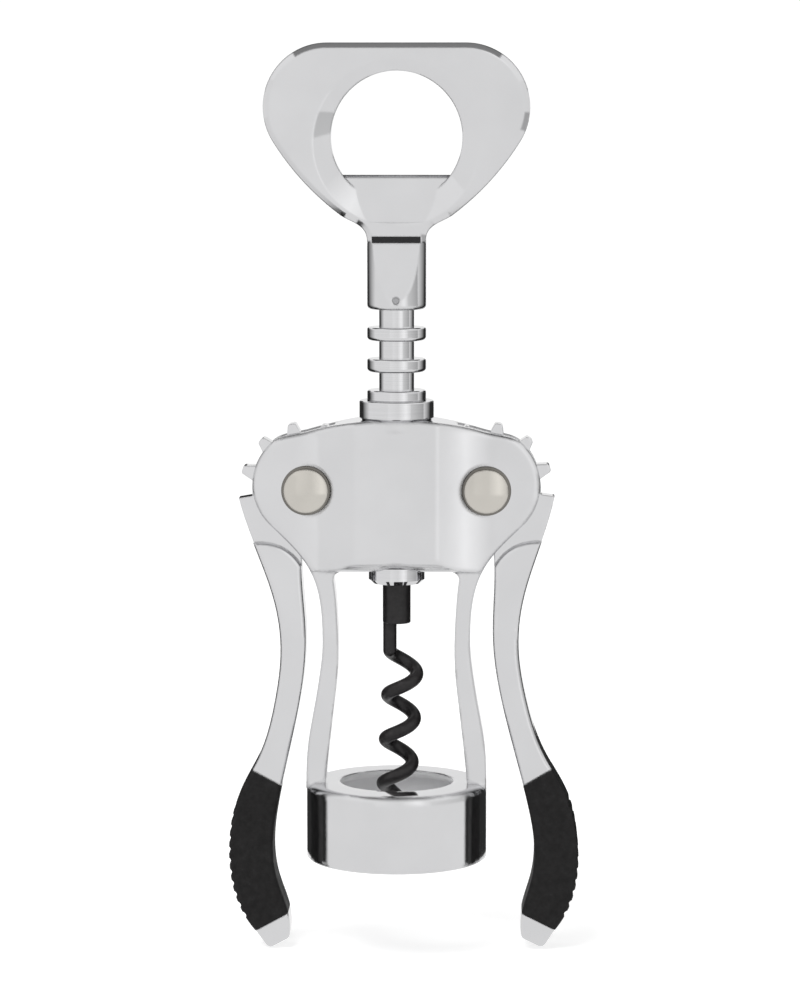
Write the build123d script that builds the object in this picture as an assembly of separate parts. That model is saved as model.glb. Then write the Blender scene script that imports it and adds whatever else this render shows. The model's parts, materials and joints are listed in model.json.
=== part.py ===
"""Wing corkscrew: frame with bottle bell, ringed rack, spindle with worm and ring handle, two levers.

Millimetres. +Z runs up the spindle, X across the two levers, -Y is the front.
The origin is on the spindle axis at the mouth of the bell, where a bottle goes in.
"""
from build123d import *
import os
from math import atan2, cos, degrees, pi, radians, sin, sqrt

# ---- driving dimensions -------------------------------------------------------------
# bell, the cup that sits over the bottle's mouth
BELL_OUTER_R = 17.85
BELL_HEIGHT = 15.2
BELL_BORE_R = 15.5
BELL_SEAT_Z = 9.6
BELL_CHAMBER_R = 13.6
BELL_ROOF = 1.5
BELL_HOLE_R = 11.3
BELL_HOLE_BEVEL = 0.7
BELL_TOP_FILLET = 1.6
BELL_LIP_CHAMFER = 0.4

# head plates and the bulge that houses the rack
HEAD_TOP_Z = 87.6
HEAD_TOP_R = 60.0
HEAD_TOP_TURN = 16.5
HEAD_END_R = 11.0
HEAD_END_X, HEAD_END_Z = 17.2, 74.55
PLATE_HALF = 4.2
BULGE_HALF = 7.0
BULGE_FLAT_X = 8.1
BULGE_CROWN = 0.15
BULGE_FLARE_X = 19.5
BULGE_FLARE_SLOPE = 22.0
BULGE_BOTTOM_R = 3.6
SLOT_HALF = 2.25
SLOT_R = 14.0
HEAD_BORE_R = 6.0
HEAD_EDGE_FILLET = 0.9

# window between the two side arms
WINDOW_TOP_Z = 57.4
WINDOW_CORNER_R = 1.6

# levers
PIVOT_X, PIVOT_Z = 17.65, 73.55
REST_PLAY = 1.15
PIN_R = 2.0
RUNNING_GAP = 0.05
SECTOR_HALF = 2.0
ARM_HALF = 4.0
ARM_EDGE_FILLET = 0.8
SHOULDER_X, SHOULDER_Z, SHOULDER_R = 27.05, 54.1, 9.15
GRIP_HALF = 4.5
TANG_HALF = 2.4
GRIP_END_LENGTH = 8.0
RIB_COUNT = 10
RIB_PITCH = 2.25
RIB_LAST_REACH = 4.2
RIB_GROOVE_R = 0.8
RIB_GROOVE_LIFT = 0.35

# rack and the levers' teeth
RACK_PITCH = 6.16
FULL_CIRCLE_TEETH = 12
GEAR_PITCH_R = RACK_PITCH * FULL_CIRCLE_TEETH / (2 * pi)
GEAR_ROOT_R = 10.7
GEAR_TIP_R = 13.2
TOOTH_STEP = 360 / FULL_CIRCLE_TEETH
TOOTH_ROOT_WIDTH = 3.0
TOOTH_TIP_WIDTH = 1.5
TOOTH_TIP_FILLET = 0.6
TOOTH_LEAD = 2.0
TEETH = 7
RING_R = 5.8
RING_HEIGHT = 2.65
RACK_ROOT_R = 3.45
RING_COUNT = 8
RING_AT_PIVOT_Z = 73.28
RINGS_BELOW_PIVOT = 2

# top collar, end collar
COLLAR_R = 7.35
COLLAR_BOTTOM_Z = 87.2
COLLAR_TOP_Z = 91.05
SPIGOT_R = 6.6
SPIGOT_LENGTH = 2.0
END_COLLAR_R = 5.55
END_COLLAR_BOTTOM_Z = 54.9
END_COLLAR_TOP_Z = 58.3
END_GAP = 0.1

# worm
STEM_R = 2.2
STEM_TOP_Z = 116.3
SHANK_R = 2.75
SHANK_BOTTOM_Z = 46.9
WIRE_R = 1.33
WIRE_TOP_X = -1.35
HELIX_R = 2.77
HELIX_PITCH = 8.9
HELIX_TOP_Z = 41.2
HELIX_TURNS = 3.15
HELIX_LEAN = 2.9
POINT_LENGTH = 5.0
POINT_R = 0.25

# handle
RING_HALF_THICK = 3.5
RING_TOP_Z = 160.55
RING_CORNER_X, RING_CORNER_Z, RING_CORNER_R = 13.5, 148.1, 12.45
RING_CORNER_END = 32.0
RING_FOOT_X, RING_FOOT_Z = 11.0, 127.3
RING_BEVEL = 1.1
HOLE_Z = 142.35
HOLE_R = 12.8
HOLE_CHAMFER_Z = 141.2
HOLE_CHAMFER_R = 16.2
HOLE_LAND = 3.0
LIP_TOP_Z = 135.0
LIP_FOOT_Z = 125.95
LIP_HALF_FRONT = 0.8
LIP_HALF_BACK = 1.7
LIP_EDGE = 0.5
NECK_R = 5.8
NECK_BOTTOM_Z = 108.85
NECK_TOP_Z = 127.2
NECK_JOIN_Z = 122.1
SCOOP_TOP_Z = 125.35
SCOOP_FOOT_Z = 110.5
NECK_PIN_Z = 110.7
NECK_PIN_R = 0.7
INLAY_Z = 122.5
INLAY_WIDTH = 9.45
INLAY_HEIGHT = 1.25
INLAY_DEPTH = 0.5

# rivets
RIVET_HEAD_R = 4.3
RIVET_HEAD_HEIGHT = 1.9
RIVET_DOME_R = 10.7
RIVET_EDGE_FILLET = 0.5
RIVET_TAIL_R = 3.4
RIVET_TAIL_HEIGHT = 1.2
WASHER_R = 4.85
WASHER_THICK = 0.5
SPOT_FACE_R = 4.95

FAR = 60.0


# ---- helpers ------------------------------------------------------------------------
def front_slab(sketch, half):
    """Solid of a sketch drawn in X and Z, half deep to the front and the back."""
    return extrude(Plane.XZ * sketch, amount=half, both=True)


def box_between(low, high):
    """Box from its lowest corner to its highest corner."""
    size = [b - a for a, b in zip(low, high)]
    middle = [(a + b) / 2 for a, b in zip(low, high)]
    return Pos(*middle) * Box(*size)


def rod(radius, low_z, high_z):
    """Upright cylinder on the spindle axis."""
    return Pos(0, 0, low_z) * Cylinder(radius, high_z - low_z, align=(Align.CENTER, Align.CENTER, Align.MIN))


def cross_rod(radius, x, z, low_y, high_y):
    """Cylinder along Y through the point x, z."""
    turned = Rot(90, 0, 0) * Cylinder(radius, high_y - low_y)
    return Pos(x, (low_y + high_y) / 2, z) * turned


def both_sides(shape):
    """A right-hand shape and its mirror image on the left."""
    return shape + mirror(shape, about=Plane.YZ)


# ---- frame casting ------------------------------------------------------------------
def on_head_end(angle):
    """Point of the head's round end, at an angle above the X axis, in X and Z."""
    return (HEAD_END_X + HEAD_END_R * cos(radians(angle)), HEAD_END_Z + HEAD_END_R * sin(radians(angle)))


def head_half_outline():
    """Right half of the head and arm in X and Z, down to the bell, as one face."""
    turn = radians(HEAD_TOP_TURN)
    top_mid = (HEAD_TOP_R * sin(turn / 2), HEAD_TOP_Z - HEAD_TOP_R * (1 - cos(turn / 2)))
    top_end = (HEAD_TOP_R * sin(turn), HEAD_TOP_Z - HEAD_TOP_R * (1 - cos(turn)))
    end_high, end_side, end_low = [on_head_end(angle) for angle in (50, 0, -46)]
    arm_waist = (14.5, 43.4)
    arm_foot = (17.8, BELL_HEIGHT - 1.0)
    inner_foot = (14.0, BELL_HEIGHT - 1.0)
    inner_waist = (11.45, 41.9)
    inner_top = (12.65, WINDOW_TOP_Z)
    arm_flare = [(15.1, 36.9), (16.0, 31.3), (17.1, 25.3)]
    head_tangents = [(cos(turn), -sin(turn)), (sin(radians(50)), -cos(radians(50)))]
    arm_tangents = [(-sin(radians(46)), -cos(radians(46))), (0, -1)]
    with BuildSketch() as half:
        with BuildLine():
            Line((0, WINDOW_TOP_Z), (0, HEAD_TOP_Z))
            ThreePointArc((0, HEAD_TOP_Z), top_mid, top_end)
            Spline(top_end, end_high, tangents=head_tangents)
            ThreePointArc(end_high, end_side, end_low)
            Spline(end_low, (17.5, 58.6), arm_waist, tangents=arm_tangents)
            Spline(arm_waist, *arm_flare, arm_foot, tangents=[(0, -1), (0, -1)])
            Line(arm_foot, inner_foot)
            Spline(inner_foot, (13.4, 21.4), (12.25, 31.3), inner_waist, tangents=[(-0.05, 1), (0, 1)])
            Spline(inner_waist, (11.7, 49.1), inner_top, tangents=[(0, 1), (0.2, 1)])
            Line(inner_top, (0, WINDOW_TOP_Z))
        make_face()
        corner = half.vertices().sort_by_distance((inner_top[0], inner_top[1], 0))[0]
        fillet(corner, WINDOW_CORNER_R)
    return half.sketch


def head_plan():
    """Depth of the head seen from above: flat plates, and a bulge round the rack with hollow flanks."""
    crest = (0, BULGE_HALF)
    bend = (BULGE_FLAT_X, BULGE_HALF - BULGE_CROWN)
    bend_mid = (BULGE_FLAT_X / 2, BULGE_HALF - BULGE_CROWN / 4)
    foot = (BULGE_FLARE_X, PLATE_HALF)
    slope = radians(BULGE_FLARE_SLOPE)
    with BuildSketch() as plan:
        with BuildLine():
            ThreePointArc(crest, bend_mid, bend)
            Spline(bend, foot, tangents=[(cos(slope), -sin(slope)), (1, 0)])
            Polyline(foot, (FAR, PLATE_HALF), (FAR, 0), (0, 0), crest)
        make_face()
        mirror(about=Plane.XZ)
        mirror(about=Plane.YZ)
    return plan.sketch


def head_side():
    """Depth of the head seen from the side: the bulge is rounded where it ends below."""
    inner_y = BULGE_HALF - BULGE_BOTTOM_R
    round_z = WINDOW_TOP_Z + BULGE_BOTTOM_R
    turn = radians(45)
    round_mid = (inner_y + BULGE_BOTTOM_R * cos(turn), round_z - BULGE_BOTTOM_R * sin(turn))
    with BuildSketch() as side:
        with BuildLine():
            Polyline((inner_y, WINDOW_TOP_Z), (inner_y, 0), (0, 0), (0, FAR * 2), (FAR, FAR * 2))
            Polyline((FAR, FAR * 2), (FAR, round_z), (BULGE_HALF, round_z))
            ThreePointArc((BULGE_HALF, round_z), round_mid, (inner_y, WINDOW_TOP_Z))
        make_face()
        mirror(about=Plane.YZ)
    return extrude(Plane.YZ * side.sketch, amount=FAR, both=True)


def lever_slot():
    """Room for one lever's toothed sector between the plates, right side."""
    wedge = Polygon(
        (PIVOT_X, PIVOT_Z),
        (PIVOT_X + 0.4, 54.0),
        (FAR, 54.0),
        (FAR, PIVOT_Z),
        align=None,
    )
    disc = Pos(PIVOT_X, PIVOT_Z) * Circle(SLOT_R)
    return front_slab(disc + wedge, SLOT_HALF)


def bell():
    """Outside of the cup over the bottle's mouth."""
    cup = rod(BELL_OUTER_R, 0, BELL_HEIGHT)
    cup = fillet(cup.edges().group_by(Axis.Z)[-1], BELL_TOP_FILLET)
    return chamfer(cup.edges().group_by(Axis.Z)[0], BELL_LIP_CHAMFER)


def bell_cavity():
    """Bore for the bottle's mouth, the narrower chamber above its seat, and the hole in the roof."""
    roof_z = BELL_HEIGHT - BELL_ROOF
    cavity = rod(BELL_BORE_R, -1, BELL_SEAT_Z)
    cavity += rod(BELL_CHAMBER_R, BELL_SEAT_Z - 1, roof_z)
    cavity += rod(BELL_HOLE_R, BELL_SEAT_Z, BELL_HEIGHT + 1)
    bevel = Cone(BELL_HOLE_R + BELL_HOLE_BEVEL, BELL_HOLE_R, BELL_HOLE_BEVEL)
    return cavity + Pos(0, 0, roof_z + BELL_HOLE_BEVEL / 2) * bevel


def frame_casting():
    """Head plates, bulge, arms and bell in one casting."""
    half = head_half_outline()
    blank = front_slab(half + mirror(half, about=Plane.YZ), BULGE_HALF + 1)
    body = blank & extrude(head_plan(), amount=HEAD_TOP_Z + 1)
    rim = [e for e in body.edges() if abs(e.center().Y) > PLATE_HALF - 0.1 and e.length > 3.0]
    rim = [e for e in rim if abs((e % 0.5).Z) < 0.9 and e.center().Z > BELL_HEIGHT]
    body = fillet(rim, HEAD_EDGE_FILLET)
    body &= head_side()
    body += bell()
    body -= bell_cavity()
    body -= both_sides(lever_slot())
    body -= rod(HEAD_BORE_R, WINDOW_TOP_Z - 5, HEAD_TOP_Z + 5)
    body -= rod(SPIGOT_R, COLLAR_BOTTOM_Z - SPIGOT_LENGTH, HEAD_TOP_Z + 5)
    body -= rod(COLLAR_R + 0.1, COLLAR_BOTTOM_Z, HEAD_TOP_Z + 5)
    body -= both_sides(cross_rod(PIN_R, PIVOT_X, PIVOT_Z, -FAR, FAR))
    body -= both_sides(cross_rod(SPOT_FACE_R, PIVOT_X, PIVOT_Z, -FAR, -PLATE_HALF))
    body -= both_sides(cross_rod(SPOT_FACE_R, PIVOT_X, PIVOT_Z, PLATE_HALF, FAR))
    return body


def top_collar():
    """Guide bush that is pressed into the top of the head."""
    bush = rod(COLLAR_R, COLLAR_BOTTOM_Z, COLLAR_TOP_Z)
    bush = chamfer(bush.edges().group_by(Axis.Z)[0], 0.5)
    bush = fillet(bush.edges().group_by(Axis.Z)[-1], 0.35)
    bush += rod(SPIGOT_R, COLLAR_BOTTOM_Z - SPIGOT_LENGTH, COLLAR_BOTTOM_Z + 1)
    return bush - rod(RING_R + RUNNING_GAP, COLLAR_BOTTOM_Z - SPIGOT_LENGTH - 1, COLLAR_TOP_Z + 1)


# ---- rack and spindle ---------------------------------------------------------------
def rack():
    """Sleeve with rings, which the levers' teeth push down; square tops, rounded undersides."""
    sleeve = rod(RACK_ROOT_R, END_COLLAR_TOP_Z + END_GAP, NECK_BOTTOM_Z - END_GAP)
    for index in range(RING_COUNT):
        middle = RING_AT_PIVOT_Z + (index - RINGS_BELOW_PIVOT) * RACK_PITCH
        ring = rod(RING_R, middle - RING_HEIGHT / 2, middle + RING_HEIGHT / 2)
        ring = fillet(ring.edges().group_by(Axis.Z)[0], 0.8)
        ring = fillet(ring.edges().group_by(Axis.Z)[-1], 0.45)
        sleeve += ring
    return sleeve - rod(STEM_R + RUNNING_GAP, 0, FAR * 2)


def end_collar():
    """Ring on the worm's stem, between the shank's shoulder and the rack that it carries."""
    ring = rod(END_COLLAR_R, END_COLLAR_BOTTOM_Z, END_COLLAR_TOP_Z)
    ring = chamfer(ring.edges().group_by(Axis.Z)[0], 0.8)
    ring = fillet(ring.edges().group_by(Axis.Z)[-1], 0.25)
    return ring - rod(STEM_R, 0, FAR * 2)


def worm():
    """Stem, thick shank, and the wire of a right-handed helix that leans to the axis."""
    shank = rod(SHANK_R, SHANK_BOTTOM_Z, END_COLLAR_BOTTOM_Z)
    shank = fillet(shank.edges().group_by(Axis.Z)[0], 0.3)
    shank += rod(STEM_R, SHANK_BOTTOM_Z + 1, STEM_TOP_Z)
    height = HELIX_TURNS * HELIX_PITCH
    path = Helix(HELIX_PITCH, height, HELIX_R)
    section = Plane(origin=path @ 0, z_dir=path % 0) * Circle(WIRE_R)
    coil = sweep(section, path=path, is_frenet=True)
    foot = path @ 0
    back = -(path % 0)
    coil += Plane(origin=foot, z_dir=back) * Cone(
        WIRE_R, POINT_R, POINT_LENGTH, align=(Align.CENTER, Align.CENTER, Align.MIN)
    )
    coil += Pos(path @ 1) * Sphere(WIRE_R)
    end_turn = 180 - 360 * HELIX_TURNS
    lean = Pos(WIRE_TOP_X + HELIX_R, 0, HELIX_TOP_Z) * Rot(0, HELIX_LEAN, 0)
    coil = lean * Rot(0, 0, end_turn) * Pos(0, 0, -height) * coil
    neck = Pos(WIRE_TOP_X, 0, HELIX_TOP_Z) * Cylinder(
        WIRE_R, SHANK_BOTTOM_Z + 1 - HELIX_TOP_Z, align=(Align.CENTER, Align.CENTER, Align.MIN)
    )
    body = shank + neck + coil
    return body - cross_rod(NECK_PIN_R, 0, NECK_PIN_Z, -FAR, FAR)


def handle_outline():
    """Rounded triangle of the ring with the start of the neck, in X and Z."""
    low_angle = radians(-RING_CORNER_END)
    corner_low = (
        RING_CORNER_X + RING_CORNER_R * cos(low_angle),
        RING_CORNER_Z + RING_CORNER_R * sin(low_angle),
    )
    corner_side = (RING_CORNER_X + RING_CORNER_R, RING_CORNER_Z)
    corner_top = (RING_CORNER_X, RING_CORNER_Z + RING_CORNER_R)
    ring_foot = (RING_FOOT_X, RING_FOOT_Z)
    neck_side = (NECK_R - 0.1, NECK_JOIN_Z)
    with BuildSketch() as half:
        with BuildLine():
            Line((0, RING_TOP_Z), corner_top)
            ThreePointArc(corner_top, corner_side, corner_low)
            flank = TangentArc(corner_low, ring_foot, tangent=(sin(low_angle), -cos(low_angle)))
            Spline(ring_foot, neck_side, tangents=[flank % 1, (0, -1)])
            Polyline(neck_side, (0, NECK_JOIN_Z), (0, RING_TOP_Z))
        make_face()
    return half.sketch + mirror(half.sketch, about=Plane.YZ)


def neck():
    """Round neck, scooped out front and back where it runs into the flat ring."""
    scoop_rise = SCOOP_TOP_Z - SCOOP_FOOT_Z
    scoop_drop = NECK_R - RING_HALF_THICK
    scoop_r = (scoop_rise**2 + scoop_drop**2) / (2 * scoop_drop)
    mid_turn = atan2(scoop_rise, scoop_r - scoop_drop) / 2
    with BuildSketch() as side:
        with BuildLine():
            Polyline((0, NECK_TOP_Z), (0, NECK_BOTTOM_Z), (NECK_R, NECK_BOTTOM_Z), (NECK_R, SCOOP_FOOT_Z))
            ThreePointArc(
                (NECK_R, SCOOP_FOOT_Z),
                (RING_HALF_THICK + scoop_r * (1 - cos(mid_turn)), SCOOP_TOP_Z - scoop_r * sin(mid_turn)),
                (RING_HALF_THICK, SCOOP_TOP_Z),
            )
            Polyline((RING_HALF_THICK, SCOOP_TOP_Z), (RING_HALF_THICK, NECK_TOP_Z), (0, NECK_TOP_Z))
        make_face()
        mirror(about=Plane.YZ)
    column = rod(NECK_R, NECK_BOTTOM_Z, NECK_TOP_Z)
    column = fillet(column.edges().group_by(Axis.Z)[0], 0.9)
    return column & extrude(Plane.YZ * side.sketch, amount=NECK_R + 1, both=True)


def ring_hole():
    """Hole of the ring: a narrow land at mid depth, and a cone to each face that is set lower."""
    hole = cross_rod(HOLE_R, 0, HOLE_Z, -FAR, FAR)
    overshoot = 1.1
    depth = overshoot * (RING_HALF_THICK - HOLE_LAND / 2)
    face_r = HOLE_R + overshoot * (HOLE_CHAMFER_R - HOLE_R)
    face_z = HOLE_Z + overshoot * (HOLE_CHAMFER_Z - HOLE_Z)
    land = Plane.XZ.offset(HOLE_LAND / 2) * Pos(0, HOLE_Z) * Circle(HOLE_R)
    face = Plane.XZ.offset(HOLE_LAND / 2 + depth) * Pos(0, face_z) * Circle(face_r)
    cone = loft([land, face])
    return hole + cone + mirror(cone, about=Plane.XZ)


def handle():
    """Ring with the crown-cap lip, and the neck that holds the worm."""
    plate = front_slab(handle_outline(), RING_HALF_THICK)
    rim = [e for e in plate.faces().filter_by(Axis.Y).edges() if e.center().Z > NECK_JOIN_Z + 0.5]
    plate = chamfer(rim, RING_BEVEL)
    plate = plate + neck()
    cut = ring_hole()
    lip_side = Polygon(
        (-RING_HALF_THICK, LIP_FOOT_Z),
        (-LIP_HALF_FRONT, LIP_TOP_Z - LIP_EDGE),
        (LIP_EDGE - LIP_HALF_FRONT, LIP_TOP_Z),
        (LIP_HALF_BACK, LIP_TOP_Z),
        (RING_HALF_THICK, LIP_FOOT_Z),
        align=None,
    )
    lip = extrude(Plane.YZ * lip_side, amount=FAR, both=True)
    cut -= lip
    body = plate - cut
    inlay_pocket = box_between(
        (-INLAY_WIDTH / 2, -FAR, INLAY_Z - INLAY_HEIGHT / 2),
        (INLAY_WIDTH / 2, inlay_face_y() + INLAY_DEPTH, INLAY_Z + INLAY_HEIGHT / 2),
    )
    body -= inlay_pocket
    body -= rod(STEM_R, 0, STEM_TOP_Z)
    return body - cross_rod(NECK_PIN_R, 0, NECK_PIN_Z, -FAR, FAR)


def inlay_face_y():
    """Depth of the scooped front of the neck at the height of the inlay."""
    scoop_rise = SCOOP_TOP_Z - SCOOP_FOOT_Z
    scoop_drop = NECK_R - RING_HALF_THICK
    scoop_r = (scoop_rise**2 + scoop_drop**2) / (2 * scoop_drop)
    below = SCOOP_TOP_Z - INLAY_Z
    return -(RING_HALF_THICK + scoop_r - sqrt(scoop_r**2 - below**2))


def neck_inlay():
    """Dark bar let into the front of the neck."""
    return box_between(
        (-INLAY_WIDTH / 2, inlay_face_y() + 0.12, INLAY_Z - INLAY_HEIGHT / 2),
        (INLAY_WIDTH / 2, inlay_face_y() + INLAY_DEPTH, INLAY_Z + INLAY_HEIGHT / 2),
    )


def neck_pin():
    """Cross pin through the neck and the worm's stem."""
    reach = sqrt(NECK_R**2 - NECK_PIN_R**2) - 0.05
    return cross_rod(NECK_PIN_R, 0, NECK_PIN_Z, -reach, reach)


# ---- levers -------------------------------------------------------------------------
def gear_tooth():
    """One tooth of the sector, pointing along +X from the pivot."""
    with BuildSketch() as tooth:
        Polygon(
            (GEAR_ROOT_R - 1.0, -TOOTH_ROOT_WIDTH / 2),
            (GEAR_ROOT_R, -TOOTH_ROOT_WIDTH / 2),
            (GEAR_TIP_R, -TOOTH_TIP_WIDTH / 2),
            (GEAR_TIP_R, TOOTH_TIP_WIDTH / 2),
            (GEAR_ROOT_R, TOOTH_ROOT_WIDTH / 2),
            (GEAR_ROOT_R - 1.0, TOOTH_ROOT_WIDTH / 2),
            align=None,
        )
        fillet(tooth.vertices().group_by(Axis.X)[-1], TOOTH_TIP_FILLET)
    return tooth.sketch


def sector():
    """Toothed disc of the right lever, in X and Z; its teeth lead by part of their play in the rack."""
    ring_angle = degrees((RING_AT_PIVOT_Z - PIVOT_Z) / GEAR_PITCH_R) - TOOTH_LEAD
    disc = Circle(GEAR_ROOT_R)
    for index in range(TEETH):
        turn = 180 - (ring_angle + (index - 0.5) * TOOTH_STEP)
        disc += Rot(0, 0, turn) * gear_tooth()
    return Pos(PIVOT_X, PIVOT_Z) * disc


def lever_outer_edge():
    """Outer edge of the right lever from the heel of the sector to the tip, in X and Z."""
    return Spline(
        (31.0, 72.0), (27.75, 61.65), (24.35, 50.95), (23.45, 41.9), (24.8, 31.8),
        (28.3, 20.65), (32.65, 12.4), (34.6, 2.25), (33.5, -7.35), (29.6, -14.45),
    )


def lever_outline():
    """S-shaped lever of the right side from the sector to its tip, in X and Z."""
    heel = (28.4, 72.4)
    with BuildSketch() as outline:
        with BuildLine():
            outer = lever_outer_edge()
            inner = Spline(
                (23.1, -15.9), (23.3, -10.2), (25.1, -4.35), (25.8, 3.75), (24.65, 11.3), (20.65, 28.2),
                (18.4, 44.85), (18.95, 57.3), (18.6, 63.65),
            )
            Polyline(outer @ 1, (27.2, -18.0), inner @ 0)
            Polyline(inner @ 1, (PIVOT_X, PIVOT_Z), heel, outer @ 0)
        make_face()
        tip = outline.vertices().group_by(Axis.Y)[0] + outline.vertices().group_by(Axis.Y)[1]
        fillet(tip, 1.1)
    return outline.sketch


def grip_zone():
    """Stretch of the right lever that the rubber covers, in X and Z, between two sloping ends."""
    return Polygon((20.2, 12.7), (40.3, 24.0), (40.6, -19.85), (20.2, -9.2), align=None)


def lever_tang():
    """Flat tang inside the rubber, which joins the arm to the bare tip."""
    with BuildSketch() as outline:
        with BuildLine():
            outer = Spline((27.5, 19.3), (31.3, 10.3), (32.85, 2.75), (32.0, -6.35), (28.4, -14.7))
            inner = Spline((24.65, -13.45), (26.85, -4.85), (27.4, 3.25), (26.55, 9.8), (24.4, 17.8))
            Line(outer @ 1, inner @ 0)
            Line(inner @ 1, outer @ 0)
        make_face()
    return front_slab(outline.sketch, TANG_HALF)


def lever():
    """Right lever: thin toothed sector, thick arm, tang for the grip and bare tip."""
    outline = lever_outline()
    thick_zone = Pos(SHOULDER_X, SHOULDER_Z) * Circle(SHOULDER_R) + Polygon(
        (0, SHOULDER_Z), (FAR, SHOULDER_Z), (FAR, -FAR), (0, -FAR), align=None
    )
    arm = front_slab(outline & thick_zone, ARM_HALF)
    arm = fillet([e for e in arm.faces().filter_by(Axis.Y).edges() if e.length > 2.0], ARM_EDGE_FILLET)
    blade_zone = Pos(0, SHOULDER_Z - 4) * Rectangle(2 * FAR, FAR, align=(Align.CENTER, Align.MIN))
    blade = front_slab((outline & blade_zone) + sector(), SECTOR_HALF)
    body = arm + blade
    body -= front_slab(grip_zone(), ARM_HALF + 1)
    body += lever_tang() & front_slab(outline, ARM_HALF)
    return body - cross_rod(PIN_R + RUNNING_GAP, PIVOT_X, PIVOT_Z, -FAR, FAR)


def grip():
    """Rubber sleeve of the right lever, ribbed along its outer side."""
    zone = lever_outline() & grip_zone()
    sleeve = front_slab(zone, GRIP_HALF)
    rim = [e for e in sleeve.faces().filter_by(Axis.Y).edges() if e.length > GRIP_END_LENGTH]
    sleeve = fillet(rim, 0.9)
    edge = lever_outer_edge()
    for index in range(RIB_COUNT + 1):
        reach = edge.length - RIB_LAST_REACH - index * RIB_PITCH
        place = edge.position_at(reach, position_mode=PositionMode.LENGTH)
        along = edge.tangent_at(reach, position_mode=PositionMode.LENGTH)
        outward = Vector(-along.Y, along.X)
        center = place + outward * RIB_GROOVE_LIFT
        sleeve -= cross_rod(RIB_GROOVE_R, center.X, center.Y, -FAR, FAR)
    return sleeve - lever_tang()


def pivot_rivet():
    """Right pivot: shaft, low dome with a steep rounded edge in front, peened tail behind."""
    front_y = -(PLATE_HALF + WASHER_THICK)
    shaft = cross_rod(PIN_R, 0, 0, front_y, PLATE_HALF)
    dome = cross_rod(RIVET_HEAD_R, 0, 0, front_y - RIVET_HEAD_HEIGHT, front_y)
    dome &= Pos(0, front_y - RIVET_HEAD_HEIGHT + RIVET_DOME_R, 0) * Sphere(RIVET_DOME_R)
    dome = fillet(dome.edges().filter_by(GeomType.CIRCLE).sort_by(Axis.Y)[0], RIVET_EDGE_FILLET)
    tail = cross_rod(RIVET_TAIL_R, 0, 0, PLATE_HALF, PLATE_HALF + RIVET_TAIL_HEIGHT)
    tail = fillet(tail.edges().group_by(Axis.Y)[-1], 0.8)
    return Pos(PIVOT_X, 0, PIVOT_Z) * (shaft + dome + tail)


def washer():
    """Right washer under the rivet's dome."""
    ring = cross_rod(WASHER_R, PIVOT_X, PIVOT_Z, -PLATE_HALF - WASHER_THICK, -PLATE_HALF)
    ring = fillet(ring.edges().group_by(Axis.Y)[0], 0.15)
    return ring - cross_rod(PIN_R, PIVOT_X, PIVOT_Z, -FAR, FAR)


# ---- assembly -----------------------------------------------------------------------
def hung_with_play(shape, pivot_x):
    """A lever's piece turned about its pivot: both levers lean the same way within the teeth's play."""
    return shape.rotate(Axis((pivot_x, 0, PIVOT_Z), (0, 1, 0)), -REST_PLAY)


def build_nodes():
    nodes = {
        "frame_casting": frame_casting(),
        "top_collar": top_collar(),
        "rack": rack(),
        "end_collar": end_collar(),
        "worm": worm(),
        "handle": handle(),
        "neck_inlay": neck_inlay(),
        "neck_pin": neck_pin(),
    }
    for name, shape in {"pivot_rivet": pivot_rivet(), "washer": washer()}.items():
        nodes[name + "_right"] = shape
        nodes[name + "_left"] = mirror(shape, about=Plane.YZ)
    for name, shape in {"lever": lever(), "grip": grip()}.items():
        nodes[name + "_right"] = hung_with_play(shape, PIVOT_X)
        nodes[name + "_left"] = hung_with_play(mirror(shape, about=Plane.YZ), -PIVOT_X)
    return nodes


os.makedirs("parts", exist_ok=True)
for node_name, node_shape in build_nodes().items():
    export_step(node_shape, f"parts/{node_name}.step")
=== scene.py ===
"""Looks of the wing corkscrew: polished chrome, black rubber and a coated worm, on a white sweep.

Metres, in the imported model's frame: +Z up the spindle, X across the levers, -Y towards the camera.
Azimuths are in degrees, from the camera's side (-Y) towards +X. A tone of 1 is white.
"""
import json
from math import cos, pi, radians, sin

import bmesh
import bpy
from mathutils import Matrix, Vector


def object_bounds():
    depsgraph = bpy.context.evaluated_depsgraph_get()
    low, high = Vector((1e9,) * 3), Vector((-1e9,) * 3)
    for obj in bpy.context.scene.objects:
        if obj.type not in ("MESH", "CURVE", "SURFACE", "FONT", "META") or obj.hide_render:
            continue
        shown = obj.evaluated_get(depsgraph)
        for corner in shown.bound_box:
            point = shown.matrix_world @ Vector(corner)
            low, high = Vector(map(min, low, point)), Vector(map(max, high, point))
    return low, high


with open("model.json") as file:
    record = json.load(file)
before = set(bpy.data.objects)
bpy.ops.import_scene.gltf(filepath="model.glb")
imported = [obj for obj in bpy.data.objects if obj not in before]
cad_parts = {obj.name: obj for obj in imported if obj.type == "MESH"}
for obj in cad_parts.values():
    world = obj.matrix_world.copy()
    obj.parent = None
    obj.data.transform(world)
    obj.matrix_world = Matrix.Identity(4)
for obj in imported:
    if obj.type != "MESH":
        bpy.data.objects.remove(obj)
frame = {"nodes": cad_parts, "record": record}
nodes = frame["nodes"]
cad_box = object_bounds()

# ---- camera --------------------------------------------------------------------------
FRAME_HEIGHT_PX = 1000
PIXELS_PER_METRE = 5080.0
CAMERA_DISTANCE = 0.6944
CAMERA_ELEVATION = 6.44
CAMERA_AZIMUTH = 1.5
CAMERA_AIM = Vector((0.00065, 0.0, 0.07125))
CLIP_START, CLIP_END = 0.05, 20.0
SENSOR_MM = 36.0

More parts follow.
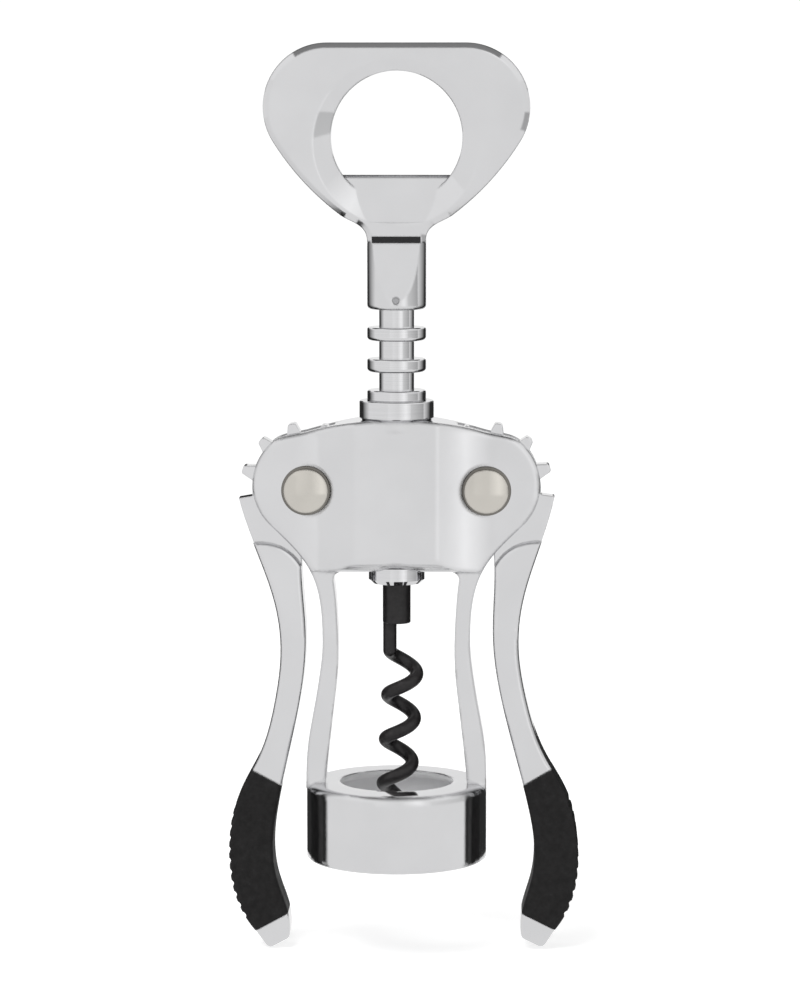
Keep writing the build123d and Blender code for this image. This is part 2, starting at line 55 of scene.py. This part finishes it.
# ---- floor, sky and lamp ---------------------------------------------------------------
WHITE = (1, 1, 1, 1)
CENTRE_R = 0.000001  # not 0, so that the faces round a disc's centre keep four corners
FLOOR_R, FLOOR_RISE_R, FLOOR_RISE = 1.2, 2.2, 1.2
FLOOR_SIDES, FLOOR_RISE_STEPS = 60, 8
FLOOR_GAP = 0.0003
FLOOR_DIFFUSE, FLOOR_GLOW, FLOOR_IN_METAL = 0.62, 0.62, 0.93
PAPER_SCALE, PAPER_MOTTLE = 6.0, 0.015
SKY_DIFFUSE = 0.75
LAMP_PLACE, LAMP_SIZE, LAMP_WATTS = (-0.35, -0.45, 0.9), 0.6, 6.0

# ---- flags and cards that only the metal mirrors; lists hold (azimuth, tone) stops --------
FLAG_R = 0.095
FLAG_LOW_Z, FLAG_FADE_Z, FLAG_TOP_Z = -0.02, 0.025, 0.135
FLAG_START, FLAG_END = 90.0, 158.0
FLAG_SOFTNESS_LOW, FLAG_SOFTNESS_HIGH = 2.0, 60.0
FLAG_LIGHT, FLAG_DARK = 0.9, 0.03
FLAG_COLUMNS, FLAG_ROWS = 34, 12
CARD_R, CARD_COLUMNS = 0.42, 16
SOFT_BOX_TOP_Z = 0.6
FRONT_TONES = [(-25, 1.0), (7, 0.92)]
SOFT_BOX_TONES = [(7, 0.92), (30, 1.2), (44, 0.95)]
GREY_CARD_TOP_Z = 0.115
GREY_TONES = [(45, 0.8), (104, 0.4)]
BACK_CARD_Z = (0.04, 0.2)
BACK_AZIMUTHS, BACK_TONE = (165, 195), 0.9
HOOD_Z = (0.165, 0.4)
HOOD_AZIMUTHS, HOOD_TONE = (100, 260), 0.06
CEILING_Z, CEILING_R, CEILING_SIDES = 0.42, 0.2, 30
CEILING_TONE = 0.27

# ---- finishes: colours, noise scales per metre, bump heights -----------------------------
CHROME = (0.685, 0.685, 0.695)
NICKEL = (0.60, 0.575, 0.53)
STEEL = (0.42, 0.42, 0.43)
# Dark grey for the washers: painted shade that stands in for the shadowed gap round each rivet dome.
WASHER_GAP_SHADE = (0.20, 0.19, 0.175)
WORM_COAT = (0.018, 0.0165, 0.017)
RUBBER = (0.0125, 0.012, 0.0122)
ENAMEL = (0.012, 0.012, 0.013)
NOISE_LOW, NOISE_HIGH = 0.3, 0.7  # a noise mostly lies between these
CREASE_ROUND, CAST_CREASE_ROUND, CREASE_SAMPLES = 0.0006, 0.0012, 4
WEAR_SCALE, WEAR_STOPS = 90.0, (0.3, 0.65)
SMEAR_SCALE, SMEAR_RANGE = 160.0, (0.6, 1.6)
PEEL_SCALE, PEEL_HEIGHT = 240.0, 0.00002
MARK_SCALE, MARK_HEIGHT = 3200.0, 0.000002
SMEAR_STRETCH, MARK_STRETCH = (1, 1, 0.4), (1, 1, 0.12)
RING_SCALE, RING_HEIGHT, RING_STRETCH = 60.0, 0.0000012, (1, 1, 90)
RING_WEAR, RING_STOPS = 0.03, (0.35, 0.6)
TURNED_SMEAR_SCALE, TURNED_SMEAR_RANGE = 180.0, (0.7, 1.5)
SCUFF_SCALE, SCUFF_STOPS, SCUFF_LIGHTER = 700.0, (0.35, 0.62, 0.78), 0.9
COAT_WEAR = 0.25
COAT_SMEAR_SCALE, COAT_SMEAR_RANGE = 420.0, (0.85, 1.15)
CAVITY_R, CAVITY_TOP_Z = 0.0156, 0.015
CAVITY_GREY, CAVITY_MOTTLE = (0.88, 0.88, 0.89), 0.08
CAVITY_SCALE, CAVITY_ROUGHNESS = 300.0, 0.6


def make_camera():
    """Camera whose picture is FRAME_HEIGHT_PX tall at PIXELS_PER_METRE."""
    data = bpy.data.cameras.new("camera")
    data.sensor_width = SENSOR_MM
    view_height = FRAME_HEIGHT_PX / PIXELS_PER_METRE
    data.lens = SENSOR_MM * CAMERA_DISTANCE / view_height
    data.clip_start, data.clip_end = CLIP_START, CLIP_END
    camera = bpy.data.objects.new("camera", data)
    bpy.context.scene.collection.objects.link(camera)
    elevation, azimuth = radians(CAMERA_ELEVATION), radians(CAMERA_AZIMUTH)
    back = Vector((sin(azimuth) * cos(elevation), -cos(azimuth) * cos(elevation), sin(elevation)))
    camera.location = CAMERA_AIM + back * CAMERA_DISTANCE
    camera.rotation_euler = back.to_track_quat("Z", "Y").to_euler()
    bpy.context.scene.camera = camera


# ---- node helpers ----------------------------------------------------------------------
class Tree:
    """Short way to add and link shader nodes."""

    def __init__(self, owner):
        owner.use_nodes = True
        self.tree = owner.node_tree
        self.tree.nodes.clear()

    def add(self, kind, inputs=None, **settings):
        node = self.tree.nodes.new(kind)
        for key, value in settings.items():
            setattr(node, key, value)
        for key, value in (inputs or {}).items():
            self.feed(node, key, value)
        return node

    def feed(self, node, key, value):
        if isinstance(value, bpy.types.NodeSocket):
            self.tree.links.new(value, node.inputs[key])
        else:
            node.inputs[key].default_value = value

    def math(self, operation, first, second):
        return self.add("ShaderNodeMath", {0: first, 1: second}, operation=operation).outputs[0]

    def mix(self, share, first, second):
        """The first shader where share is 0, the second where it is 1."""
        return self.add("ShaderNodeMixShader", {0: share, 1: first, 2: second}).outputs[0]

    def glow(self, tone, color=WHITE):
        return self.add("ShaderNodeEmission", {"Color": color, "Strength": tone}).outputs[0]

    def principled(self, **inputs):
        """Principled shader; an underscore in a keyword stands for a space in the socket's name."""
        sockets = {key.replace("_", " "): value for key, value in inputs.items()}
        return self.add("ShaderNodeBsdfPrincipled", sockets).outputs[0]

    def object_place(self):
        return self.add("ShaderNodeTexCoord").outputs["Object"]

    def noise(self, scale, detail=3.0, roughness=0.5, stretch=(1, 1, 1)):
        place = self.add("ShaderNodeMapping", {"Vector": self.object_place(), "Scale": stretch})
        inputs = {"Vector": place.outputs[0], "Scale": scale, "Detail": detail}
        return self.add("ShaderNodeTexNoise", {**inputs, "Roughness": roughness}).outputs["Fac"]

    def ramp(self, value, stops):
        """Ramp between (position, colour) stops; a plain number is a grey."""
        node = self.add("ShaderNodeValToRGB", {"Fac": value})
        elements = node.color_ramp.elements
        while len(elements) < len(stops):
            elements.new(0.5)
        for element, (position, color) in zip(elements, stops):
            element.position = position
            element.color = (*color, 1) if isinstance(color, tuple) else (color, color, color, 1)
        return node.outputs["Color"]

    def smeared(self, noise, roughness, share_range):
        """Roughness that varies with the noise, between two shares of the given one."""
        low, high = (roughness * share for share in share_range)
        inputs = {"Value": noise, "From Min": NOISE_LOW, "From Max": NOISE_HIGH}
        return self.add("ShaderNodeMapRange", {**inputs, "To Min": low, "To Max": high}).outputs[0]

    def bump(self, height, distance, strength=1.0, normal=None):
        inputs = {"Height": height, "Distance": distance, "Strength": strength}
        if normal is not None:
            inputs["Normal"] = normal
        return self.add("ShaderNodeBump", inputs).outputs[0]

    def output(self, surface, kind="ShaderNodeOutputMaterial"):
        self.add(kind, {"Surface": surface})


def new_material(name):
    material = bpy.data.materials.new(name)
    return material, Tree(material)


def seen_by_eye_or_metal(tree):
    """1 for camera, glossy and transmission rays, 0 for diffuse and shadow rays."""
    path = tree.add("ShaderNodeLightPath").outputs
    either = tree.math("MAXIMUM", path["Is Camera Ray"], path["Is Glossy Ray"])
    return tree.math("MAXIMUM", either, path["Is Transmission Ray"])


def tints(color, amount):
    """The colour a little darker and a little lighter, for a ramp."""
    darker = tuple(channel * (1 - amount) for channel in color)
    lighter = tuple(min(1.0, channel * (1 + amount)) for channel in color)
    return darker, lighter


# ---- shapes of the stage ---------------------------------------------------------------
def around(radius, azimuth, z):
    return Vector((radius * sin(radians(azimuth)), -radius * cos(radians(azimuth)), z))


def steps_between(first, last, count):
    return [first + (last - first) * step / count for step in range(count + 1)]


def grid_mesh(name, rows):
    """Mesh of quads between rows of points."""
    made = bmesh.new()
    lines = [[made.verts.new(point) for point in row] for row in rows]
    for first, second in zip(lines, lines[1:]):
        for a, b, c, d in zip(first, first[1:], second[1:], second):
            made.faces.new((a, b, c, d))
    mesh = bpy.data.meshes.new(name)
    made.to_mesh(mesh)
    made.free()
    return mesh


def make_object(name, mesh, material):
    made = bpy.data.objects.new(name, mesh)
    bpy.context.scene.collection.objects.link(made)
    made.data.materials.append(material)
    for polygon in mesh.polygons:
        polygon.use_smooth = True
    return made


# ---- world and floor -------------------------------------------------------------------
def make_world():
    """White to the camera and to the metal, dimmer as light on everything else."""
    world = bpy.data.worlds.new("world")
    bpy.context.scene.world = world
    tree = Tree(world)
    dim = tree.add("ShaderNodeBackground", {"Color": WHITE, "Strength": SKY_DIFFUSE}).outputs[0]
    white = tree.add("ShaderNodeBackground", {"Color": WHITE, "Strength": 1.0}).outputs[0]
    tree.output(tree.mix(seen_by_eye_or_metal(tree), dim, white), "ShaderNodeOutputWorld")


def floor_material():
    """Paper that glows for the camera, a plain tone in the metal, and plain paper for the rest."""
    material, tree = new_material("floor_paper")
    mottled = [(NOISE_LOW, FLOOR_DIFFUSE * (1 - PAPER_MOTTLE)), (NOISE_HIGH, FLOOR_DIFFUSE)]
    tone = tree.ramp(tree.noise(PAPER_SCALE), mottled)
    paper = tree.add("ShaderNodeBsdfDiffuse", {"Color": tone}).outputs[0]
    lit = tree.add("ShaderNodeAddShader", {0: paper, 1: tree.glow(FLOOR_GLOW)}).outputs[0]
    in_metal = tree.glow(FLOOR_IN_METAL)
    camera_ray = tree.add("ShaderNodeLightPath").outputs["Is Camera Ray"]
    seen = tree.mix(camera_ray, in_metal, lit)
    tree.output(tree.mix(seen_by_eye_or_metal(tree), paper, seen))
    return material


def make_floor():
    """Flat disc whose rim curves up into a backdrop all round."""
    floor_z = cad_box[0][2] - FLOOR_GAP
    profile = [(CENTRE_R, 0.0), (FLOOR_R / 2, 0.0), (FLOOR_R, 0.0)]
    for turn in steps_between(0, pi / 2, FLOOR_RISE_STEPS)[1:]:
        radius = FLOOR_R + (FLOOR_RISE_R - FLOOR_R) * sin(turn)
        profile.append((radius, FLOOR_RISE * (1 - cos(turn))))
    azimuths = steps_between(0, 360, FLOOR_SIDES)
    rows = [[around(radius, azimuth, floor_z + z) for azimuth in azimuths] for radius, z in profile]
    floor = make_object("floor", grid_mesh("floor", rows), floor_material())


# ---- cards and flags -------------------------------------------------------------------
def plain_glow(name, tone):
    material, tree = new_material(name)
    tree.output(tree.glow(tone))
    return material


def fading_glow(name, stops):
    """Glow whose tone changes along the card's azimuth."""
    material, tree = new_material(name)
    first, last = stops[0][0], stops[-1][0]
    brightest = max(tone for _, tone in stops)
    place = tree.add("ShaderNodeSeparateXYZ", {0: tree.object_place()}).outputs
    angle = tree.math("ARCTAN2", place["X"], tree.math("MULTIPLY", place["Y"], -1.0))
    along = {"Value": angle, "From Min": radians(first), "From Max": radians(last)}
    share = tree.add("ShaderNodeMapRange", along).outputs[0]
    tones = [((azimuth - first) / (last - first), tone / brightest) for azimuth, tone in stops]
    tree.output(tree.glow(brightest, tree.ramp(share, tones)))
    return material


def only_in_metal(card):
    card.visible_camera = False
    card.visible_diffuse = False
    card.visible_shadow = False
    card.visible_transmission = False
    card.visible_volume_scatter = False


def make_card(name, material, ends, radius, low_z, high_z):
    """Upright curved card between two azimuths."""
    azimuths = steps_between(*ends, CARD_COLUMNS)
    rows = [[around(radius, azimuth, z) for azimuth in azimuths] for z in (low_z, high_z)]
    only_in_metal(make_object(name, grid_mesh(name, rows), material))


def make_fading_card(name, stops, low_z, high_z):
    ends = stops[0][0], stops[-1][0]
    make_card(name, fading_glow(name, stops), ends, CARD_R, low_z, high_z)


def flag_material():
    """Glow whose tone is stored at the flag's points, so that it fades both along and up."""
    material, tree = new_material("flag")
    tree.output(tree.glow(tree.add("ShaderNodeAttribute", attribute_name="tone").outputs["Fac"]))
    return material


def flag_tone(azimuth, z):
    """Dark behind the front edge: a sharp edge low down that softens upwards."""
    height = max(0.0, (z - FLAG_FADE_Z) / (FLAG_TOP_Z - FLAG_FADE_Z))
    softness = FLAG_SOFTNESS_LOW + (FLAG_SOFTNESS_HIGH - FLAG_SOFTNESS_LOW) * height
    share = min(1.0, max(0.0, (azimuth - FLAG_START) / softness))
    return FLAG_LIGHT + (FLAG_DARK - FLAG_LIGHT) * share


def make_flag(side, material):
    """Dark wall beside and behind the object, which draws the black edges in the metal."""
    azimuths = steps_between(FLAG_START, FLAG_END, FLAG_COLUMNS)
    heights = steps_between(FLAG_LOW_Z, FLAG_TOP_Z, FLAG_ROWS)
    rows = [[around(FLAG_R, side * azimuth, z) for azimuth in azimuths] for z in heights]
    mesh = grid_mesh("flag_right" if side > 0 else "flag_left", rows)
    tones = [flag_tone(azimuth, z) for z in heights for azimuth in azimuths]
    mesh.attributes.new("tone", "FLOAT", "POINT").data.foreach_set("value", tones)
    only_in_metal(make_object(mesh.name, mesh, material))


def make_ceiling():
    """Dim round panel overhead, mirrored by what faces up."""
    azimuths = steps_between(0, 360, CEILING_SIDES)
    rows = [[around(radius, azimuth, CEILING_Z) for azimuth in azimuths]
            for radius in (CENTRE_R, CEILING_R)]
    material = plain_glow("ceiling", CEILING_TONE)
    only_in_metal(make_object("ceiling", grid_mesh("ceiling", rows), material))


def make_lamp(name, place, size, watts):
    """Round area lamp aimed at the middle of the picture, kept out of the reflections."""
    data = bpy.data.lights.new(name, "AREA")
    data.shape = "DISK"
    data.size = size
    data.energy = watts
    lamp = bpy.data.objects.new(name, data)
    bpy.context.scene.collection.objects.link(lamp)
    lamp.location = place
    lamp.rotation_euler = (Vector(place) - CAMERA_AIM).to_track_quat("Z", "Y").to_euler()
    lamp.visible_glossy = False


def make_stage():
    make_world()
    make_floor()
    floor_z = cad_box[0][2]
    flag = flag_material()
    for side in (1, -1):
        make_flag(side, flag)
    make_ceiling()
    make_fading_card("card_front", FRONT_TONES, floor_z, SOFT_BOX_TOP_Z)
    make_fading_card("card_soft_box", SOFT_BOX_TONES, floor_z, SOFT_BOX_TOP_Z)
    make_fading_card("card_grey", GREY_TONES, floor_z, GREY_CARD_TOP_Z)
    make_card("card_back", plain_glow("card_back", BACK_TONE), BACK_AZIMUTHS, CARD_R, *BACK_CARD_Z)
    make_card("hood", plain_glow("hood", HOOD_TONE), HOOD_AZIMUTHS, FLAG_R, *HOOD_Z)
    make_lamp("lamp_top", LAMP_PLACE, LAMP_SIZE, LAMP_WATTS)


# ---- materials -------------------------------------------------------------------------
def inside_bell(tree):
    """1 inside the bell's cavity, whose wall is left dull, 0 elsewhere."""
    place = tree.object_place()
    height = tree.add("ShaderNodeSeparateXYZ", {0: place}).outputs["Z"]
    flat = tree.add("ShaderNodeVectorMath", {0: place, 1: (1.0, 1.0, 0.0)}, operation="MULTIPLY")
    reach = tree.add("ShaderNodeVectorMath", {0: flat.outputs[0]}, operation="LENGTH")
    near = tree.math("LESS_THAN", reach.outputs["Value"], CAVITY_R)
    low = tree.math("LESS_THAN", height, CAVITY_TOP_Z)
    return tree.math("MULTIPLY", near, low)


def dull_cavity(tree, surface):
    """Puts a dull grey cast wall over the given surface inside the bell."""
    shades = [(NOISE_LOW, tints(CAVITY_GREY, CAVITY_MOTTLE)[0]), (NOISE_HIGH, CAVITY_GREY)]
    tone = tree.ramp(tree.noise(CAVITY_SCALE, detail=4.0), shades)
    cast = tree.principled(Base_Color=tone, Roughness=CAVITY_ROUGHNESS)
    return tree.mix(inside_bell(tree), surface, cast)


def polished(name, color, roughness, wear, grain, cast_cavity=False):
    """Plating with a faint orange-peel, soft smears and fine polishing marks."""
    material, tree = new_material(name)
    dark, light = tints(color, wear)
    tone = tree.ramp(tree.noise(WEAR_SCALE, detail=4.0), list(zip(WEAR_STOPS, (dark, light))))
    smears = tree.noise(SMEAR_SCALE, detail=5.0, roughness=0.6, stretch=SMEAR_STRETCH)
    shine = tree.smeared(smears, roughness, SMEAR_RANGE)
    soft = CAST_CREASE_ROUND if cast_cavity else CREASE_ROUND
    crease = tree.add("ShaderNodeBevel", {"Radius": soft}, samples=CREASE_SAMPLES).outputs[0]
    peel = tree.bump(tree.noise(PEEL_SCALE, detail=2.0), PEEL_HEIGHT, grain, crease)
    fine = tree.noise(MARK_SCALE, detail=2.0, roughness=0.6, stretch=MARK_STRETCH)
    marks = tree.bump(fine, MARK_HEIGHT, grain, peel)
    surface = tree.principled(Base_Color=tone, Metallic=1.0, Roughness=shine, Normal=marks)
    tree.output(dull_cavity(tree, surface) if cast_cavity else surface)
    return material


def turned(name, color, roughness):
    """Plated turned part: fine rings round the axis."""
    material, tree = new_material(name)
    dark, light = tints(color, RING_WEAR)
    rings = tree.noise(RING_SCALE, detail=3.0, roughness=0.6, stretch=RING_STRETCH)
    tone = tree.ramp(rings, list(zip(RING_STOPS, (dark, light))))
    smears = tree.noise(TURNED_SMEAR_SCALE, detail=4.0)
    shine = tree.smeared(smears, roughness, TURNED_SMEAR_RANGE)
    marks = tree.bump(rings, RING_HEIGHT)
    tree.output(tree.principled(Base_Color=tone, Metallic=1.0, Roughness=shine, Normal=marks))
    return material


def coated(name, color, roughness, pebble_scale, pebble_height, specular):
    """Dull black finish with a fine pebble and a few lighter scuffs."""
    material, tree = new_material(name)
    dark, light = tints(color, COAT_WEAR)
    scuffed = tints(color, SCUFF_LIGHTER)[1]
    scuffs = tree.noise(SCUFF_SCALE, detail=5.0, roughness=0.65)
    tone = tree.ramp(scuffs, list(zip(SCUFF_STOPS, (dark, light, scuffed))))
    smears = tree.noise(COAT_SMEAR_SCALE, detail=4.0)
    shine = tree.smeared(smears, roughness, COAT_SMEAR_RANGE)
    pebbles = tree.noise(pebble_scale, detail=3.0, roughness=0.6)
    normal = tree.bump(pebbles, pebble_height)
    tree.output(tree.principled(
        Base_Color=tone, Roughness=shine, Normal=normal, Specular_IOR_Level=specular))
    return material


def make_finishes():
    """Material for each slot that the record names."""
    chrome = {"roughness": 0.05, "wear": 0.02, "grain": 0.6}
    plating = polished("plating", CHROME, **chrome)
    frame_plating = polished("frame_plating", CHROME, **chrome, cast_cavity=True)
    turned_plating = turned("turned_plating", CHROME, roughness=0.06)
    return {
        "frame_chrome": frame_plating, "handle_chrome": plating, "lever_chrome": plating,
        "rack_chrome": turned_plating, "collar_chrome": turned_plating,
        "rivet_nickel": polished("nickel", NICKEL, roughness=0.12, wear=0.04, grain=0.8),
        # The washer's dark colour is painted shade, for the shadowed gap round each rivet dome.
        "washer_nickel": polished(
            "nickel_with_painted_gap_shade", WASHER_GAP_SHADE, roughness=0.3, wear=0.12, grain=1.0),
        "pin_steel": polished("steel", STEEL, roughness=0.25, wear=0.08, grain=1.0),
        "worm_coating": coated(
            "worm_coat", WORM_COAT, roughness=0.34,
            pebble_scale=2600.0, pebble_height=0.000004, specular=0.3),
        "grip_rubber": coated(
            "rubber", RUBBER, roughness=0.62,
            pebble_scale=2200.0, pebble_height=0.00002, specular=0.2),
        "inlay_black": coated(
            "enamel", ENAMEL, roughness=0.3,
            pebble_scale=1500.0, pebble_height=0.000004, specular=0.3),
    }


def paint_nodes():
    finishes = make_finishes()
    slots = {part["node"]: part["material_slot"] for part in frame["record"]["subparts"]}
    for name, node in nodes.items():
        for slot in node.material_slots:
            slot.material = finishes[slots[name]]


bpy.context.scene.view_settings.view_transform = "Standard"
make_camera()
make_stage()
paint_nodes()
